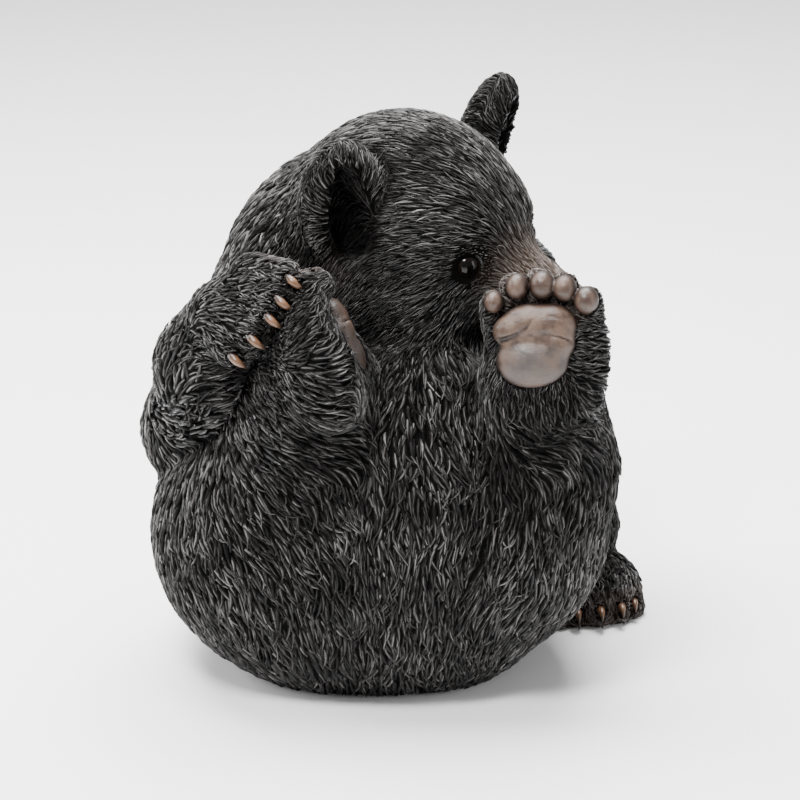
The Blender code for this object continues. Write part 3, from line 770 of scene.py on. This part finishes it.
def traced(roots, length, lean, curl):
    """Stations along each lock from its root: middles, and the sideways and outward directions there."""
    here = roots
    middles, sides, outs = [], [], []
    for station in range(STATIONS):
        out = slope(here, shape)
        way = fur_direction(here, out)
        side = np.cross(out, way)
        turn = lean + curl * station
        way = way * np.cos(turn)[:, None] + side * np.sin(turn)[:, None]
        side = np.cross(out, way)
        middles.append(here)
        sides.append(side)
        outs.append(out)
        ahead = here + way * (length / (STATIONS - 1))[:, None]
        here = ahead - slope(ahead, shape) * np.clip(shape(ahead.astype(np.float32)), -4, 4)[:, None]
    return np.stack(middles, 1), np.stack(sides, 1), np.stack(outs, 1)


def locks(roots):
    """The traced locks and their sizes. A lock that would cover a pad, a claw or an eye ends before it."""
    size = fur_size(roots)
    sleek = sleekness(roots)
    count = len(roots)
    length = (14.5 + 5.5 * sleek) * size * chance.uniform(0.7, 1.25, count) * (1 - 0.45 * brown_tint(roots))
    spread, sway = 1 - 0.4 * sleek, 1 - 0.6 * sleek
    lean = chance.normal(0, 0.13, count) * spread + 0.26 * sway * waves(roots, 17 * size)
    curl = chance.normal(0, 0.13, count) * spread - 0.14 * sway * waves(roots, 14 * size)
    middles, sides, outs = traced(roots, length, lean, curl)
    room = np.stack([bare(middles[:, i]) for i in range(STATIONS)], 1)
    gone = length[:, None] * np.arange(1, STATIONS) / (STATIONS - 1)
    free = (room[:, 1:] > 0.3) | (room[:, 1:] - room[:, :1] > 0.4 * gone)
    blocked = ~free.all(1)
    share = np.maximum(np.argmin(free[blocked], 1) / (STATIONS - 1), 0.28)
    again = traced(roots[blocked], length[blocked] * share, lean[blocked], curl[blocked])
    for whole, part in zip((middles, sides, outs), again):
        whole[blocked] = part
    return middles, sides, outs, size


def fur_piece(name, roots):
    """One object with a closed lock at every root."""
    middles, sides, outs, size = locks(roots)
    count = len(roots)
    coarse = 1 - sleekness(roots)
    width = (1.5 + 0.6 * coarse) * size * chance.uniform(0.75, 1.25, count)
    height = (1.8 + 0.8 * coarse) * size * chance.uniform(0.6, 1.35, count)
    sink = 0.5 * size
    spread_out = sides * (width[:, None] * WIDTHS)[..., None]
    crest = middles + outs * (height[:, None] * CRESTS)[..., None]
    low = outs * sink[:, None, None]
    lift = outs * (height[:, None] * LIFTS)[..., None]
    left = middles + spread_out - low + lift
    right = middles - spread_out - low + lift
    rings = np.stack([left, crest, right], 2)[:, :-1].reshape(count, -1, 3)
    points = np.concatenate([rings, crest[:, -1:]], 1)
    points[..., 2] = np.maximum(points[..., 2], 0.15)
    per_lock = points.shape[1]
    tip = per_lock - 1
    pattern = [(0, 1, 2)]
    for ring in range(STATIONS - 2):
        a = ring * 3
        for first, second in ((0, 1), (1, 2), (2, 0)):
            pattern.append((a + first, a + 3 + first, a + 3 + second))
            pattern.append((a + first, a + 3 + second, a + second))
    a = (STATIONS - 2) * 3
    for first, second in ((0, 1), (1, 2), (2, 0)):
        pattern.append((a + first, tip, a + second))
    pattern = np.array(pattern)
    faces = (pattern[None] + (np.arange(count) * per_lock)[:, None, None]).reshape(-1, 3)
    made = mesh_object(name, points.reshape(-1, 3), faces, smooth=False)
    across = {0: 0.02, 1: 0.5, 2: 0.98}
    places = []
    for face in pattern:
        for corner in face:
            if corner == tip:
                places.append((0.5, 0.98))
            else:
                places.append((across[corner % 3], 0.02 + 0.96 * (corner // 3) / (STATIONS - 1)))
    lay_out(made, np.array(places), per_cell=len(pattern))
    crests = np.tile(np.append(np.tile([0.0, 1.0, 0.0], STATIONS - 1), 0.8), count)
    give(made, "crest", crests)
    ring_across = np.tile([0.0, 0.5, 1.0], STATIONS - 1)
    give(made, "across", np.tile(np.append(ring_across, 0.5), count))
    ring_along = np.repeat(np.arange(STATIONS - 1) / (STATIONS - 1), 3)
    give(made, "along", np.tile(np.append(ring_along, 1.0), count))
    # Painted light and shade, read by the fur's material
    give(made, "light", painted_light_and_shade(points.reshape(-1, 3)))
    give(made, "tone", np.repeat(chance.random(count), per_lock))
    give(made, "brown", brown_tint(points.reshape(-1, 3)))
    return made


# Materials


class Nodes:
    """A material's nodes, added and linked in one call each."""

    def __init__(self, name):
        self.material = bpy.data.materials.new(name)
        self.material.use_nodes = True
        self.tree = self.material.node_tree
        self.shader = self.tree.nodes["Principled BSDF"]

    def set(self, name, value):
        socket = self.shader.inputs[name]
        if hasattr(value, "is_linked"):
            self.tree.links.new(value, socket)
        else:
            socket.default_value = value
        return self

    def add(self, kind, inputs=(), **settings):
        node = self.tree.nodes.new(kind)
        for key, value in settings.items():
            setattr(node, key, value)
        for key, value in dict(inputs).items():
            if hasattr(value, "is_linked"):
                self.tree.links.new(value, node.inputs[key])
            else:
                node.inputs[key].default_value = value
        return node

    def attribute(self, name):
        return self.add("ShaderNodeAttribute", attribute_name=name).outputs["Fac"]

    def place(self, scale=1.0, stretch=(1, 1, 1)):
        spot = self.add("ShaderNodeTexCoord").outputs["Object"]
        size = tuple(scale * s for s in stretch)
        return self.add("ShaderNodeVectorMath", {0: spot, 1: size}, operation="MULTIPLY").outputs[0]

    def noise(self, scale, detail=3.0, rough=0.5, place=None):
        spot = place if place is not None else self.place()
        inputs = {"Vector": spot, "Scale": scale, "Detail": detail, "Roughness": rough}
        return self.add("ShaderNodeTexNoise", inputs).outputs["Fac"]

    def math(self, operation, a, b=0.0, clamp=False):
        return self.add("ShaderNodeMath", {0: a, 1: b}, operation=operation, use_clamp=clamp).outputs[0]

    def ramp(self, value, low, high, start=0.0, end=1.0):
        inputs = {"Value": value, "From Min": low, "From Max": high, "To Min": start, "To Max": end}
        return self.add("ShaderNodeMapRange", inputs, interpolation_type="SMOOTHSTEP").outputs["Result"]

    def mix(self, share, a, b):
        node = self.add("ShaderNodeMix", data_type="RGBA")
        for socket, value in ((node.inputs["Factor"], share), (node.inputs[6], a), (node.inputs[7], b)):
            if hasattr(value, "is_linked"):
                self.tree.links.new(value, socket)
            elif isinstance(value, tuple):
                socket.default_value = (*value, 1)
            else:
                socket.default_value = value
        return node.outputs[2]

    def bump(self, height, strength, distance):
        inputs = {"Height": height, "Strength": strength, "Distance": distance}
        return self.add("ShaderNodeBump", inputs).outputs["Normal"]


def fur_material():
    """Black satin paint whose crests carry rubbed grey that also stands in for their highlights, with
    painted light and shade from the light attribute, and brown on the snout and the toes.
    """
    m = Nodes("painted_fur")
    crest, tone, brown, light = (m.attribute(name) for name in ("crest", "tone", "brown", "light"))
    broad = m.noise(38, 3)
    strand = m.add("ShaderNodeCombineXYZ", {0: m.math("MULTIPLY", m.attribute("across"), 5.5),
                                            1: m.math("MULTIPLY", m.attribute("along"), 1.6),
                                            2: m.math("MULTIPLY", tone, 70.0)}).outputs[0]
    strands = m.noise(1.0, 2, 0.5, strand)
    black = m.mix(tone, (0.0020, 0.0018, 0.0018), (0.0085, 0.0079, 0.0076))
    grey = m.mix(m.math("POWER", tone, 1.6), (0.046, 0.0440, 0.043), (0.305, 0.292, 0.286))
    grey = m.mix(brown, grey, (0.24, 0.205, 0.185))
    # Rubbed grey on the crests, which also stands in for the highlights along them
    rubbed_grey_and_highlight = m.math("MULTIPLY", m.ramp(crest, 0.38, 1.05), m.ramp(strands, 0.42, 0.63))
    rubbed_grey_and_highlight = m.math("MULTIPLY", rubbed_grey_and_highlight, m.ramp(broad, 0.30, 0.70, 0.45, 1.0))
    # Painted light and shade: the light attribute scales the grey here and the crests' specular below
    rubbed_grey_and_highlight = m.math("MULTIPLY", rubbed_grey_and_highlight, light)
    umber = m.mix(m.math("MULTIPLY", brown, 0.75), black, (0.085, 0.066, 0.057))
    m.set("Base Color", m.mix(rubbed_grey_and_highlight, umber, grey))
    m.set("Roughness", m.ramp(m.noise(420, 2), 0.3, 0.7, 0.26, 0.44))
    m.set("Specular IOR Level", m.math("MULTIPLY", m.ramp(crest, 0.35, 1.0, 0.02, 0.26), light))
    m.set("Normal", m.bump(strands, 0.5, 0.0007))
    return m.material


def underfur_black_and_shade_material():
    m = Nodes("underfur_black_and_painted_shade")
    brown = m.attribute("brown")
    # Near black, darker than the locks' black paint, as painted shade in the gaps between the locks
    dark = m.mix(m.noise(300, 3), (0.001, 0.0009, 0.0009), (0.003, 0.0028, 0.0026))
    m.set("Base Color", m.mix(m.math("MULTIPLY", brown, 0.7), dark, (0.030, 0.018, 0.012)))
    m.set("Roughness", 0.6)
    m.set("Specular IOR Level", 0.02)
    m.set("Normal", m.bump(m.noise(700, 3), 0.5, 0.0006))
    return m.material


def pad_material(name, shade):
    """Taupe pads with painted shade, a dark brown, in their creases and low round their edges, brown round
    the toes, and greyer where rubbed; the shade factor darkens every colour, giving a copy in painted shade.
    """
    m = Nodes(name)
    crease_shade, toe = m.attribute("crease_shade"), m.attribute("toe")
    mottled = m.noise(120, 4, 0.6)
    # The shade factor darkens all the pad colours: a lower one gives a copy in painted shade
    dark, light, grey, edge = (tuple(shade * c for c in colour) for colour in (
        (0.020, 0.0115, 0.0085), (0.097, 0.059, 0.041), (0.066, 0.059, 0.057), (0.024, 0.013, 0.009)))
    taupe = m.mix(m.ramp(mottled, 0.34, 0.64), dark, light)
    patches = m.ramp(m.noise(70, 3), 0.35, 0.65, 0.0, 0.6)
    heel = m.math("SUBTRACT", m.ramp(m.attribute("reach"), 9, -9), patches, True)
    rubbed = m.mix(heel, m.mix(0.25, taupe, light), m.mix(0.35, grey, taupe))
    brown = m.mix(m.math("MULTIPLY", toe, 0.06), rubbed, edge)
    # Painted shade: darker brown in the creases and low on the pads
    m.set("Base Color", m.mix(m.math("MULTIPLY", crease_shade, 0.95), brown, (0.014, 0.007, 0.0045)))
    m.set("Roughness", m.ramp(mottled, 0.3, 0.7, 0.36, 0.54))
    m.set("Specular IOR Level", 0.42)
    wrinkles = m.noise(1.0, 4, 0.6, m.place(150, (1, 1, 4)))
    m.set("Normal", m.bump(m.math("ADD", wrinkles, m.noise(600, 3, 0.7)), 0.35, 0.0005))
    return m.material


def claw_material():
    m = Nodes("painted_claws")
    along = m.attribute("along")
    streak = m.noise(260, 3)
    horn = m.mix(streak, (0.060, 0.027, 0.013), (0.165, 0.085, 0.045))
    horn = m.mix(m.ramp(along, 0.5, 0.95), horn, (0.035, 0.021, 0.014))
    m.set("Base Color", m.mix(m.ramp(along, 0.42, 0.16), horn, (0.02, 0.011, 0.007)))
    m.set("Roughness", 0.3)
    m.set("Normal", m.bump(m.noise(800, 2), 0.2, 0.0003))
    return m.material


def nose_material():
    m = Nodes("painted_nose")
    m.set("Base Color", m.mix(m.noise(400, 3), (0.008, 0.007, 0.0065), (0.022, 0.018, 0.016)))
    m.set("Roughness", 0.3)
    pores = m.add("ShaderNodeTexVoronoi", {"Vector": m.place(), "Scale": 900.0}).outputs["Distance"]
    m.set("Normal", m.bump(pores, 0.35, 0.0004))
    return m.material


def eyelid_material():
    """Black lids with a painted highlight in light grey along the bottom of each eye's opening."""
    m = Nodes("painted_eyelids")
    # Painted highlight along the bottom rim of the lid
    highlight_paint = m.math("MULTIPLY", m.attribute("lid_bottom_highlight"), m.ramp(m.noise(500, 2), 0.25, 0.5))
    m.set("Base Color", m.mix(highlight_paint, (0.004, 0.0036, 0.0035), (0.30, 0.285, 0.28)))
    m.set("Roughness", 0.3)
    m.set("Normal", m.bump(m.noise(1500, 2), 0.2, 0.0003))
    return m.material


def eye_material():
    """Glass with a black pupil, a brown iris that is lighter at its edge, and a dark rim."""
    m = Nodes("eye_glass")
    off_axis = m.attribute("off_axis")
    streaks = m.noise(1500, 2)
    iris = m.mix(m.ramp(off_axis, 0.36, 0.62), (0.002, 0.0015, 0.0012), (0.007, 0.0045, 0.003))
    iris = m.mix(m.math("MULTIPLY", streaks, 0.35), iris, (0.009, 0.005, 0.003))
    outer = m.mix(m.ramp(off_axis, 0.62, 0.70), iris, (0.003, 0.002, 0.002))
    m.set("Base Color", m.mix(m.ramp(off_axis, 0.30, 0.37), (0.0015, 0.0012, 0.0012), outer))
    m.set("Roughness", 0.06)
    m.set("Specular IOR Level", 0.22)
    return m.material


def floor_material():
    m = Nodes("studio_floor")
    m.set("Base Color", (0.92, 0.92, 0.92, 1))
    m.set("Roughness", 0.9)
    return m.material


# Pieces

WHOLE_CELL = np.array([(0.02, 0.02), (0.98, 0.02), (0.98, 0.98), (0.02, 0.98)])


def dress(made, look, node=None):
    made.data.materials.append(look)
    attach(made, "root")
    if node:
        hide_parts(node)


def make_skin():
    points, normals, faces = skin(shape, GRID_LOW, GRID_HIGH, SKIN_STEP)
    for frame in (LEFT_FOOT, RIGHT_FOOT):
        under = np.minimum(*smooth_soles(points.astype(np.float32), frame)) < 0.6
        points[under] -= normals[under] * 3.2
    for base, bend, tip, _ in all_claws():
        middle = (base + 2 * bend + tip) / 4
        near = np.linalg.norm(points - middle, axis=1) < 5.0
        points[near] -= normals[near] * 2.4
    points[:, 2] = np.maximum(points[:, 2], 0.0)
    made = mesh_object("bear_skin", points, faces)
    give(made, "brown", brown_tint(points))
    lay_out(made, WHOLE_CELL)
    dress(made, underfur_black_and_shade_material(), "bear_cub")
    return points, faces


def make_pads():
    # The right foot's pads use a copy of the pad material at half brightness, as painted shade
    for name, frame, shade in (("left_pads", LEFT_FOOT, 1.0), ("right_pads", RIGHT_FOOT, 0.5)):
        look = pad_material("painted_" + name, shade)
        reach = 48
        points, _, faces = skin(lambda p: soles(p, frame), frame.at - reach, frame.at + reach, 1.1)
        made = mesh_object(name, points, faces)
        local = (points - frame.at) @ frame.axes.T
        give(made, "toe", soft_step(local[:, 0], 14, 24))
        give(made, "reach", local[:, 0])
        deep = -np.minimum(*smooth_soles(points.astype(np.float32), frame))
        # Painted shade mask: low on the pads near the skin, and in the creases
        low = 1 - soft_step(local[:, 1] - 1.0 * soft_step(local[:, 0], 14, 24), 2.2, 6.4)
        give(made, "crease_shade", np.maximum(low, soft_step(deep, 0.15, 0.9)))
        lay_out(made, WHOLE_CELL)
        dress(made, look)


def make_nose():
    at = HEAD.point(104, 0, -5)
    points, _, faces = skin(nose, at - 20, at + 20, 0.8)
    made = mesh_object("nose", points, faces)
    lay_out(made, WHOLE_CELL)
    dress(made, nose_material())


def make_eyelids():
    look = eyelid_material()
    for name, side, eye in zip(("right_eyelid", "left_eyelid"), (-1, 1), EYES):
        at = HEAD.point(*eye)
        points, _, faces = skin(eyelid_rings, at - 13, at + 13, 0.7)
        made = mesh_object(name, points, faces)
        # Where the lid's painted highlight goes: towards the bottom of the eye
        give(made, "lid_bottom_highlight", soft_step(-(points - at) @ eye_frame(side, eye).axes[1], 0.5, 4.0))
        lay_out(made, WHOLE_CELL)
        dress(made, look)


def make_claws():
    points, shares, faces = claw_mesh(all_claws())
    made = mesh_object("claws", points, faces)
    give(made, "along", shares)
    lay_out(made, WHOLE_CELL)
    dress(made, claw_material())


def make_eyes():
    look = eye_material()
    rows, columns = 32, 48
    for name, side, eye in zip(("right_eye", "left_eye"), (-1, 1), EYES):
        frame_of_eye = eye_frame(side, eye)
        points, off_axis, faces = [], [], []
        for row in range(rows + 1):
            angle = math.pi * (row + 0.02) / (rows + 0.04)
            for column in range(columns):
                turn = 2 * math.pi * column / columns
                local = (math.cos(angle), math.sin(angle) * math.cos(turn), math.sin(angle) * math.sin(turn))
                points.append(frame_of_eye.point(*[EYE_RADIUS * c for c in local]))
                off_axis.append(angle / (math.pi / 2))
                if row < rows:
                    a, b = row * columns + column, row * columns + (column + 1) % columns
                    faces.append((a, a + columns, b + columns, b))
        made = mesh_object(name + "_ball", np.array(points), np.array(faces))
        give(made, "off_axis", off_axis)
        lay_out(made, WHOLE_CELL)
        dress(made, look, name)


def lock_spacing(p):
    """How far apart the locks stand, and nothing where none grow."""
    gap = (2.8 + 0.5 * (1 - sleekness(p))) * fur_size(p)
    gap[(bare(p) < -3.0) | (p[:, 2] < 1.2)] = 0
    return gap


def make_fur(points, faces):
    """Locks over the whole skin in pieces of one part of the body each."""
    tries = 420000
    roots = scattered(points, faces, lock_spacing, tries)
    p = roots.astype(np.float32)
    forms = {"head": with_ears(p, head(p)), "back": trunk(p), "right_leg": right_leg(p),
             "left_leg": left_leg(p), "arms": np.minimum(right_arm(p), left_arm(p))}
    nearest = np.argmin(np.stack(list(forms.values())), axis=0)
    look = fur_material()
    for number, name in enumerate(forms):
        mine = roots[nearest == number]
        mine = mine[np.argsort(mine @ np.array([0.3, -0.9, 0.3]), kind="stable")]
        for run in range(0, len(mine), MOST_LOCKS):
            piece = fur_piece(f"{name}_fur_{run // MOST_LOCKS + 1}", mine[run:run + MOST_LOCKS])
            dress(piece, look)


def area_light(name, place, aim, size, power):
    data = bpy.data.lights.new(name, "AREA")
    data.shape = "RECTANGLE"
    data.size, data.size_y = size
    data.energy = power
    light = bpy.data.objects.new(name, data)
    light.location = place
    way = np.array(aim, float) - np.array(place, float)
    turn = math.atan2(way[0], -way[1])
    tilt = math.atan2(math.hypot(way[0], way[1]), -way[2])
    light.rotation_euler = (tilt, 0, math.pi + turn)
    bpy.context.collection.objects.link(light)


def make_studio():
    bpy.ops.mesh.primitive_plane_add(size=12, location=(0, 1.5, 0))
    floor = bpy.context.object
    floor.name = "studio_floor"
    floor.data.materials.append(floor_material())
    world = bpy.data.worlds.new("studio")
    world.use_nodes = True
    world.node_tree.nodes["Background"].inputs["Color"].default_value = (1, 1, 1, 1)
    world.node_tree.nodes["Background"].inputs["Strength"].default_value = 0.5
    bpy.context.scene.world = world
    aim = (0, 0, 0.14)
    area_light("key", (-0.32, -0.64, 1.2), aim, (0.36, 0.3), 24)
    area_light("left_strip", (-1.2, 0.1, 0.5), aim, (0.3, 1.0), 20)
    area_light("right_fill", (1.1, -0.5, 0.5), aim, (0.4, 0.8), 5)
    area_light("top", (-0.1, 0.35, 1.4), aim, (1.4, 1.0), 96)


CAMERA_ELEVATION = math.radians(20)
CAMERA_DISTANCE = 1.6
CAMERA_AIM = (0.005, 0.0, 0.131)


def make_camera():
    data = bpy.data.cameras.new("camera")
    data.lens = 144
    data.sensor_width = 36
    camera = bpy.data.objects.new("camera", data)
    camera.location = (CAMERA_AIM[0], -CAMERA_DISTANCE * math.cos(CAMERA_ELEVATION),
                       CAMERA_AIM[2] + CAMERA_DISTANCE * math.sin(CAMERA_ELEVATION))
    camera.rotation_euler = (math.pi / 2 - CAMERA_ELEVATION, 0, 0)
    bpy.context.collection.objects.link(camera)
    bpy.context.scene.camera = camera


make_camera()
make_studio()
skin_points, skin_faces = make_skin()
make_pads()
make_nose()
make_eyelids()
make_claws()
make_eyes()
make_fur(skin_points, skin_faces)
